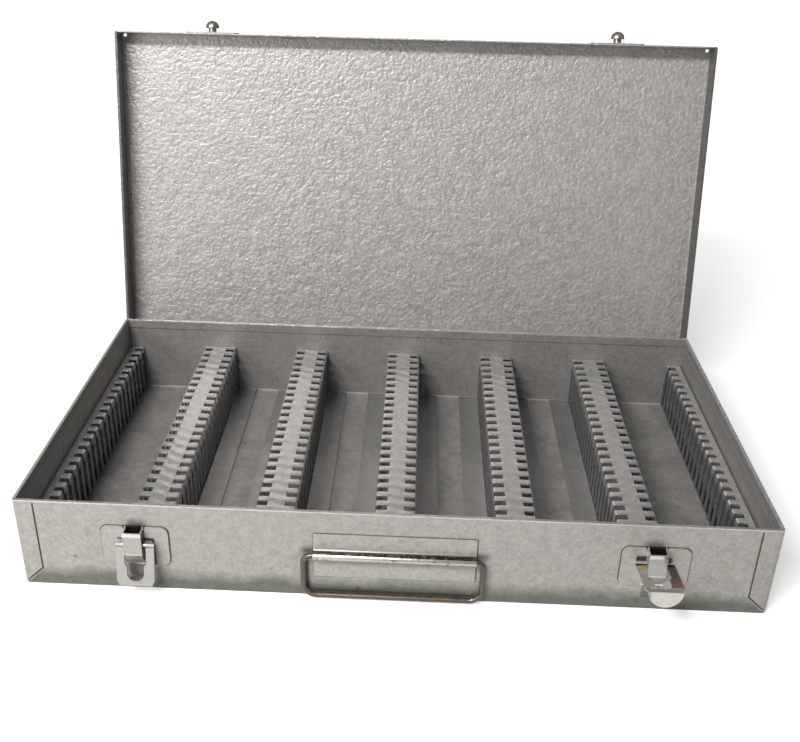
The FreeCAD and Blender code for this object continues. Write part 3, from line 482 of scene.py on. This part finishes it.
def fold_row(name, left, right, sides, reach, height, foot, foot_way):
    """One slotted divider, folded from the strip of its top between left and right. One tooth and one slot
    are folded first and then repeated. sides lists the folded edges, -1 or 1, and reach is how far the teeth
    stand out from them. foot_way is 1 for feet that turn outwards, -1 for inwards."""
    bpy.ops.object.select_all(action="DESELECT")
    bpy.ops.mesh.primitive_plane_add(size=1, location=((left + right) / 2, TOOTH / 2, 0))
    piece = bpy.context.object
    piece.name = name
    piece.scale = (right - left, TOOTH, 1)
    bpy.ops.object.transform_apply(location=True, rotation=True, scale=True)
    bpy.ops.object.mode_set(mode="EDIT")
    pick("edges", lambda p: near(p.y, TOOTH))
    draw_out((0, SLOT, 0))
    bpy.ops.mesh.select_all(action="SELECT")
    bpy.ops.mesh.subdivide(number_cuts=3)
    mesh = bmesh.from_edit_mesh(piece.data)
    for point in {(round(v.co.x, 7), round(v.co.y, 7)) for v in mesh.verts}:
        pick("verts", lambda p: near(p.x, point[0]) and near(p.y, point[1]))
        rise = RIPPLE * math.sin(2 * math.pi * (point[1] / PITCH + 0.05 * point[0] / MM))
        bpy.ops.transform.translate(value=(0, 0, rise))
    step = 0.15 * MM
    top_fold = 1.3 * MM
    low_fold = 0.9 * MM
    foot_top = height - SLOT_FOOT
    for side in sides:
        edge_x = right if side > 0 else left
        pick("edges", lambda p: near(p.x, edge_x) and p.y < TOOTH + 0.01 * MM)
        draw_out((side * step, 0, 0))
        bpy.ops.transform.resize(value=(1, 1, 0), center_override=(0, 0, 0))
        draw_out((side * (reach - top_fold - step), 0, 0), *bend(top_fold, side))
        draw_out((0, 0, -(foot_top - top_fold)))
        way = side * foot_way
        lift = SHEET if foot_way > 0 else 0.0
        draw_out((0, 0, -(height - foot_top - lift - low_fold)))
        draw_out((way * low_fold * 0.3, 0, -low_fold * 0.7), (way * low_fold * 0.7, 0, -low_fold * 0.3))
        draw_out((way * (foot - low_fold), 0, 0))
        pick("edges", lambda p: near(p.y, TOOTH) and p.z < -foot_top + 0.01 * MM and p.x * side > 0)
        draw_out((0, SLOT, 0))
    bpy.ops.mesh.select_all(action="SELECT")
    bpy.ops.mesh.remove_doubles(threshold=0.00001)
    bpy.ops.mesh.normals_make_consistent(inside=False)
    bpy.ops.object.mode_set(mode="OBJECT")
    row = piece.modifiers.new("row", "ARRAY")
    row.use_relative_offset = False
    row.use_constant_offset = True
    row.constant_offset_displace = (0, PITCH, 0)
    row.count = SLOTS + 1
    row.use_merge_vertices = True
    row.merge_threshold = 0.00002
    bpy.ops.object.modifier_apply(modifier="row")
    first_slot = -(SLOTS - 1) / 2 * PITCH
    bpy.ops.object.mode_set(mode="EDIT")
    bpy.ops.mesh.select_all(action="SELECT")
    bpy.ops.transform.translate(value=(0, first_slot - SLOT / 2 - TOOTH + ROW_SHIFT, 0))
    for end in (-1, 1):
        bpy.ops.mesh.select_all(action="SELECT")
        bpy.ops.mesh.bisect(plane_co=(0, end * HALF_LENGTH, 0), plane_no=(0, end, 0), clear_outer=True)
    bpy.ops.mesh.select_all(action="SELECT")
    bpy.ops.mesh.normals_make_consistent(inside=False)
    mesh = bmesh.from_edit_mesh(piece.data)
    top = max(mesh.faces, key=lambda face: face.calc_center_median().z)
    if top.normal.z < 0:
        bpy.ops.mesh.flip_normals()
    bpy.ops.object.mode_set(mode="OBJECT")
    wall = piece.modifiers.new("wall", "SOLIDIFY")
    wall.thickness = SHEET
    wall.offset = -1
    wall.use_even_offset = True
    bpy.ops.object.modifier_apply(modifier="wall")
    bpy.ops.object.shade_smooth_by_angle(angle=math.radians(40))
    return piece


# The dividers wear the tray's enamel painted lighter and glossier, as painted light on their tops.
divider_paint, tree, shader, colour, where = hammertone("divider_enamel", (0.54, 0.535, 0.52), metallic=0.6,
                                                        roughness=0.20, dimple=5 * MM, depth=0.015 * MM,
                                                        grain_depth=0.1, fleck=0.04, dust=0.1)
place = split(tree, where)
lanes = reckon(tree, "FRACT", reckon(tree, "ADD", reckon(tree, "DIVIDE", place["X"], LANE), 10.5))
from_middle = reckon(tree, "ABSOLUTE", reckon(tree, "MULTIPLY", reckon(tree, "SUBTRACT", lanes, 0.5), LANE))
rows = reckon(tree, "ADD", place["Y"], (SLOTS - 1) / 2 * PITCH + SLOT / 2 + TOOTH - ROW_SHIFT)
along = reckon(tree, "FRACT", reckon(tree, "DIVIDE", rows, PITCH))
beside_web = remap(tree, from_middle, WEB - 0.1 * MM, WEB + 0.1 * MM)
on_top = remap(tree, place["Z"], 30.2 * MM, 30.7 * MM)
# A painted highlight along one edge of each tooth's top, laid on as bright steel.
tooth_edge = reckon(tree, "MULTIPLY", remap(tree, along, 0.05, 0.09, 1.0, 0.0),
                    reckon(tree, "MULTIPLY", beside_web, on_top))
# Painted shade: the divider walls below their tops are darkened, and so are the feet.
walls = reckon(tree, "MULTIPLY", remap(tree, place["Z"], 31.5 * MM, 26.0 * MM),
               remap(tree, place["Z"], 1.8 * MM, 2.2 * MM))
colour = darken(tree, colour, walls, 0.34)
feet = remap(tree, place["Z"], 2.2 * MM, 1.8 * MM)
colour = darken(tree, colour, feet, 0.5)

# The inside of each hat section is painted near black as shade. The side dividers stand against the walls,
# and so the inner face of their sheet lies elsewhere and lower.
side_row = remap(tree, reckon(tree, "ABSOLUTE", place["X"]), 160 * MM, 161 * MM)
inner_face = remap(tree, side_row, 0.0, 1.0, 9.7 * MM, 8.75 * MM)
as_high = reckon(tree, "ADD", place["Z"], reckon(tree, "MULTIPLY", side_row, HEIGHT - SIDE_HEIGHT))
behind = remap(tree, reckon(tree, "SUBTRACT", from_middle, inner_face), -0.05 * MM, 0.05 * MM, 1.0, 0.0)
shaded_hat_inside = reckon(tree, "MULTIPLY", behind, remap(tree, as_high, 32.7 * MM, 32.85 * MM, 1.0, 0.0))
colour = darken(tree, colour, shaded_hat_inside, 0.06)
colour = bare(tree, shader, colour, reckon(tree, "MULTIPLY", tooth_edge, 0.6), (0.72, 0.71, 0.69), 0.3)
feed(tree, shader, "Base Color", colour)

first_divider = fold_row("folded_divider", -WEB, WEB, (-1, 1), OUTER_FACE - WEB, HEIGHT, 12.8 * MM, 1)
first_divider.data.materials.append(divider_paint)
for number in range(1, 6):
    bpy.ops.object.select_all(action="DESELECT")
    first_divider.select_set(True)
    bpy.context.view_layer.objects.active = first_divider
    bpy.ops.object.duplicate()
    divider = bpy.context.object
    divider.name = "folded_divider_%d" % number
    bpy.ops.transform.translate(value=((number - 3) * LANE, 0, TRAY_FLOOR + HEIGHT))
    bpy.ops.object.transform_apply(location=True, rotation=True, scale=True)
    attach(divider, "tray")
    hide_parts("divider_%d" % number)
bpy.data.objects.remove(first_divider)

for name, way in (("left", 1), ("right", -1)):
    side_divider = fold_row("folded_side_divider_" + name, 1.2 * MM, 4.6 * MM, (1,), 5.0 * MM, SIDE_HEIGHT,
                            6.0 * MM, -1)
    side_divider.data.materials.append(divider_paint)
    bpy.ops.object.mode_set(mode="EDIT")
    bpy.ops.mesh.select_all(action="SELECT")
    bpy.ops.transform.resize(value=(way, 1, 1), center_override=(0, 0, 0))
    if way < 0:
        bpy.ops.mesh.flip_normals()
    bpy.ops.transform.translate(value=(-way * SIDE_WALL, 0, TRAY_FLOOR + SIDE_HEIGHT))
    bpy.ops.object.mode_set(mode="OBJECT")
    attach(side_divider, "tray")
    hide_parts("side_divider_" + name)

# The small fittings: thin plates stamped from sheet steel, spot welded to the walls and painted with them.
# The drawn tongues and the bead have lost their paint to handling.
fitting_paint, tree, shader, colour, where = hammertone("fitting_enamel", (0.38, 0.37, 0.35), metallic=0.3,
                                                        roughness=0.42, dimple=3 * MM, depth=0.05 * MM)
place = split(tree, where)
both = split(tree, where, mirrored=True)
tongue = box_mask(tree, both, (121.8, -103, None), (131.2, -97.7, None))
colour = bare(tree, shader, colour, reckon(tree, "MULTIPLY", tongue, 0.55), (0.50, 0.49, 0.47), 0.36)
# Painted shade on the tongues' downward slopes, inside the channels and on one side wall of the left
# channel; the facing side wall of the right channel is painted light beige as lit.
shaded_slope = box_mask(tree, both, (121.8, -101.6, 15), (131.2, -97.4, 24.8), 0.5)
shaded_slope = reckon(tree, "MULTIPLY", shaded_slope, remap(tree, place["Z"], 16 * MM, 21.5 * MM, 1.0, 0.15))
colour = darken(tree, colour, shaded_slope, 0.5)
shaded_channel_inside = box_mask(tree, both, (122.6, -101.25, 25.4), (130.4, -96.4, 40), 0.1)
colour = darken(tree, colour, shaded_channel_inside, 0.03)
shaded_channel_wall = box_mask(tree, place, (-122.5, -101.4, 20), (-121.5, -97.2, 38), 0.15)
colour = darken(tree, colour, shaded_channel_wall, 0.35)
lit_channel_wall = box_mask(tree, place, (121.5, -101.4, 20), (122.5, -97.2, 38), 0.15)
colour = blend(tree, reckon(tree, "MULTIPLY", lit_channel_wall, 0.6), colour, (0.58, 0.53, 0.45, 1))
# The tongues' lips and tops are bright steel, and the ridge across each tongue is a painted highlight.
lip = box_mask(tree, both, (121.0, -103, 15), (132.0, -97.1, 17.0), 0.2)
top = box_mask(tree, both, (121.8, -103, 36.3), (131.2, -101.2, 38.5), 0.3)
painted_ridge_highlight = box_mask(tree, both, (122.4, -103, 25.2), (130.6, -101.4, 26.0), 0.3)
wear_and_painted_highlight = reckon(tree, "MAXIMUM", reckon(tree, "MAXIMUM", lip, top), reckon(tree, "MULTIPLY", painted_ridge_highlight, 0.7))
colour = bare(tree, shader, colour, wear_and_painted_highlight, (0.85, 0.84, 0.81), 0.25)
# Painted shadow beside the left loop's right arm, and painted shade round the tangs of both loops.
colour = shade_front(tree, place, colour, ((-118.0, 9.0, -116.7, 31.6, 0.3, 0.15),
                                           (-135.0, 31.6, -131.2, 32.7, 0.2, 0.2),
                                           (-122.0, 31.2, -117.0, 32.7, 0.25, 0.08),
                                           (117.0, 31.0, 122.0, 34.2, 0.4, 0.1),
                                           (130.8, 30.0, 134.0, 33.2, 0.5, 0.12)))

# The bead is greasy steel, dirty on top. Its bright front band is a painted highlight, and the dark line
# where it meets the plate below is painted shade.
BEAD = 40.8
blots = noise(tree, where, 420.0, 3.0, 0.7)
bead = box_mask(tree, both, (-1, -102, 24.6), (BEAD, -97.4, 29.9), 0.15)
colour = bare(tree, shader, colour, bead, (0.36, 0.345, 0.32), 0.40)
bright = box_mask(tree, both, (-1, -102, 26.9), (BEAD, -100.0, 29.3), 0.2)
colour = bare(tree, shader, colour, bright, (0.66, 0.625, 0.555), 0.36)
grime = reckon(tree, "MULTIPLY", bead, remap(tree, blots, 0.57, 0.66, 0.0, 0.6))
colour = blend(tree, grime, colour, (0.13, 0.09, 0.055, 1))
dirty = box_mask(tree, both, (-1, -100.15, 28.8), (BEAD, -97.9, 30.2), 0.12)
dirty = reckon(tree, "MULTIPLY", dirty, remap(tree, blots, 0.40, 0.54, 0.6, 1.0))
colour = blend(tree, dirty, colour, (0.05, 0.036, 0.022, 1))
under = box_mask(tree, both, (-1, -99.8, 23.9), (BEAD, -97.0, 24.9), 0.15)
colour = darken(tree, colour, under, (0.22, 0.18, 0.14))
colour = stain(tree, where, colour, ((-33.8, 32.8, 1.2), (-5.6, 32.4, 1.1), (4.0, 37.0, 1.4),
                                     (11.8, 35.8, 1.6)), (0.34, 0.26, 0.18))
feed(tree, shader, "Base Color", colour)
dress("handle_bracket", fitting_paint, 0.2 * MM)
for side in ("left", "right"):
    dress("catch_plate_" + side, fitting_paint, 0.2 * MM)
    dress("stud_plate_" + side, fitting_paint, 0.2 * MM)


# The bare steel: the loops, the bail, the studs and the hinges were plated once, and are now dull, with
# brown rust where hands and damp have been.
def bare_steel(name, shade, rust, roughness=0.32, scale=260.0, patches=(), tints=()):
    """Dull plated steel with a share of brown rust specks. patches are boxes, low and high corner and
    strength, where rust has taken hold, and tints are boxes where the steel is darker or brighter: rust,
    painted shade and painted highlights."""
    steel = bpy.data.materials.new(name)
    steel.use_nodes = True
    tree = steel.node_tree
    shader = tree.nodes["Principled BSDF"]
    where = add(tree, "ShaderNodeTexCoord").outputs["Object"]
    blotches = noise(tree, where, scale, 4.0, 0.65)
    pits = noise(tree, where, 1500.0, 2.0, 0.6)
    mixed = reckon(tree, "ADD", blotches, reckon(tree, "MULTIPLY", pits, 0.5))
    stain = reckon(tree, "MULTIPLY", remap(tree, mixed, 0.74, 0.90), rust)
    place = split(tree, where)
    for low, high, strength in patches:
        zone = box_mask(tree, place, low, high, 1.0)
        eaten = reckon(tree, "MULTIPLY", zone, remap(tree, mixed, 0.52, 0.72, 0.0, strength))
        stain = reckon(tree, "MAXIMUM", stain, eaten)
    clean = blend(tree, remap(tree, blotches, 0.3, 0.7), (*[c * 0.75 for c in shade], 1), (*shade, 1))
    for low, high, factor in tints:
        zone = box_mask(tree, place, low, high)
        clean = darken(tree, clean, zone, factor)
    brown = blend(tree, pits, (0.07, 0.04, 0.022, 1), (0.30, 0.16, 0.08, 1))
    feed(tree, shader, "Base Color", blend(tree, stain, clean, brown))
    feed(tree, shader, "Metallic", remap(tree, stain, 0.0, 1.0, 0.9, 0.1))
    feed(tree, shader, "Roughness", remap(tree, stain, 0.0, 1.0, roughness, 0.75))
    bump = add(tree, "ShaderNodeBump")
    feed(tree, bump, "Height", pits)
    bump.inputs["Distance"].default_value = 0.05 * MM
    feed(tree, shader, "Normal", bump.outputs["Normal"])
    return steel


# The left loop's tints paint a band of shade and a band of highlight across its arms by the tangs.
left_loop_steel = bare_steel(
    "left_loop_steel", (0.60, 0.585, 0.575), 0.12, 0.42,
    tints=(((-136, -104, 29.5), (-115, -98, 30.1), 0.4),
           ((-136, -104, 30.3), (-115, -98, 31.4), 1.5)))
# On the right loop the first tint is the tan of rust, and the last paints shade where the loop meets the
# channel.
right_loop_steel = bare_steel(
    "right_loop_steel", (0.50, 0.49, 0.47), 0.25, 0.34, 300.0,
    patches=(((115, -105, 26), (123, -98, 36), 0.3),
             ((129, -118, 31.3), (137, -112.5, 36), 0.8)),
    tints=(((115, -105.5, 26), (123, -98, 36), (1.7, 1.35, 0.95)),
           ((115, -119, 26), (123, -105.5, 36), 1.5),
           ((129, -118, 29), (137, -98, 36), 0.35),
           ((119, -125, 24), (136, -118.2, 34), 1.8),
           ((115, -100.7, 26), (138, -97, 36), 0.06)))
bail_steel = bare_steel("bail_steel", (0.17, 0.155, 0.13), 0.75, 0.34, 380.0)
stud_steel = bare_steel("stud_steel", (0.50, 0.49, 0.46), 0.3)
dress("catch_loop_left", left_loop_steel, 0.15 * MM)
dress("catch_loop_right", right_loop_steel, 0.15 * MM)
for side in ("left", "right"):
    dress("hinge_base_leaf_" + side, stud_steel)
    dress("hinge_lid_leaf_" + side, stud_steel)
    dress("hinge_pin_" + side, stud_steel)
dress("handle_bail", bail_steel)

# The studs: turned heads with a domed crown on a short neck, riveted through their plates. Each is placed
# with the lid shut and then swings back with it.
STUD_X = 126.5 * MM
NECK = 2.4 * MM
CROWN = ((3.9 / 2.4, 0.0), (4.1 / 3.9, 0.25), (1.0, 1.0), (0.93, 0.9), (0.86, 0.9), (0.72, 0.8),
         (0.45, 0.55), (0.3, 0.12))
OPEN_ANGLE = math.pi / 2 + LEAN
for side, x in (("left", -STUD_X), ("right", STUD_X)):
    bpy.ops.object.select_all(action="DESELECT")
    bpy.ops.mesh.primitive_cylinder_add(vertices=40, radius=NECK, depth=NECK, end_fill_type="NGON")
    stud = bpy.context.object
    stud.name = "turned_stud_" + side
    bpy.ops.object.mode_set(mode="EDIT")
    pick("faces", lambda p: p.z > NECK / 2 - 0.01 * MM)
    for size, rise in CROWN:
        bpy.ops.mesh.extrude_region_move(TRANSFORM_OT_translate={"value": (0, 0, rise * MM)})
        bpy.ops.transform.resize(value=(size, size, 1))
    bpy.ops.mesh.select_all(action="SELECT")
    bpy.ops.transform.translate(value=(0, 0, NECK / 2))
    bpy.ops.transform.rotate(value=math.radians(-90), orient_axis="X", center_override=(0, 0, 0))
    bpy.ops.transform.translate(value=(x, -98.3 * MM, 46.3 * MM))
    bpy.ops.transform.rotate(value=OPEN_ANGLE, orient_axis="X", center_override=HINGE)
    bpy.ops.object.mode_set(mode="OBJECT")
    bpy.ops.object.shade_smooth_by_angle(angle=math.radians(35))
    stud.data.materials.append(stud_steel)
    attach(stud, "lid")
    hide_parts("lid_stud_" + side)
